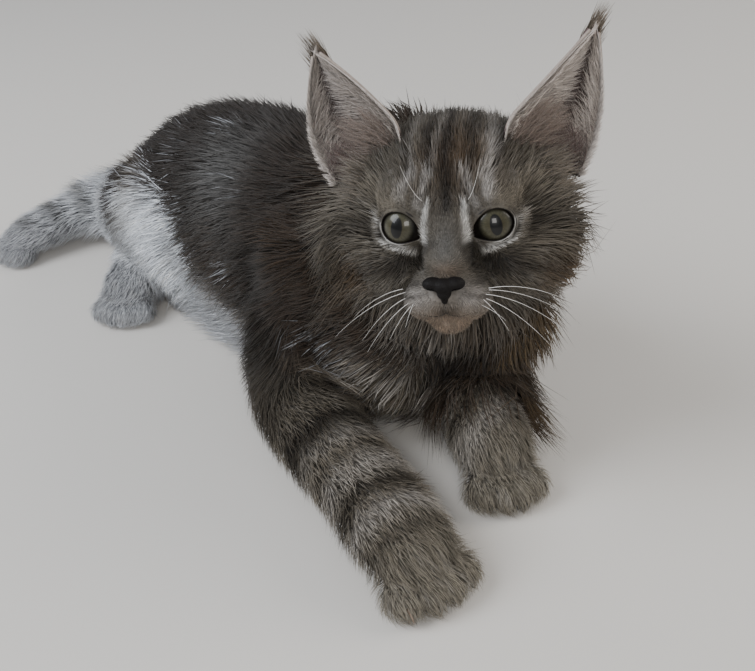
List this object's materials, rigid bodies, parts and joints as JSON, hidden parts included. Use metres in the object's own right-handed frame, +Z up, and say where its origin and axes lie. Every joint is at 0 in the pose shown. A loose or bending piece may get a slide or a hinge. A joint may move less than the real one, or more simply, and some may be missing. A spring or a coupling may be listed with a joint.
{
  "type": "maine coon kitten",
  "caption": "Life-size still model of a long-haired kitten lying on its belly with its head raised.",
  "frame": {"origin": "on the floor under the chest, at the flat that the chest rests on", "axes": "+Z up, -Y towards the front paws, +X the kitten's left"},
  "size_m": [0.2002, 0.4252, 0.1906],
  "materials": {
    "fur": "long grey-brown tabby fur",
    "ear": "thin mauve-grey skin with short fur",
    "eye": "wet gloss, olive-green iris",
    "nose": "moist black leather"
  },
  "bodies": {
    "root": {"head": "fur", "neck": "fur", "torso": "fur", "tail": "fur", "foreleg_left": "fur", "foreleg_right": "fur", "hind_leg_left": "fur", "hind_leg_right": "fur", "ear_left": "ear", "ear_right": "ear", "eye_left": "eye", "eye_right": "eye", "nose": "nose"}
  },
  "joints": []
}
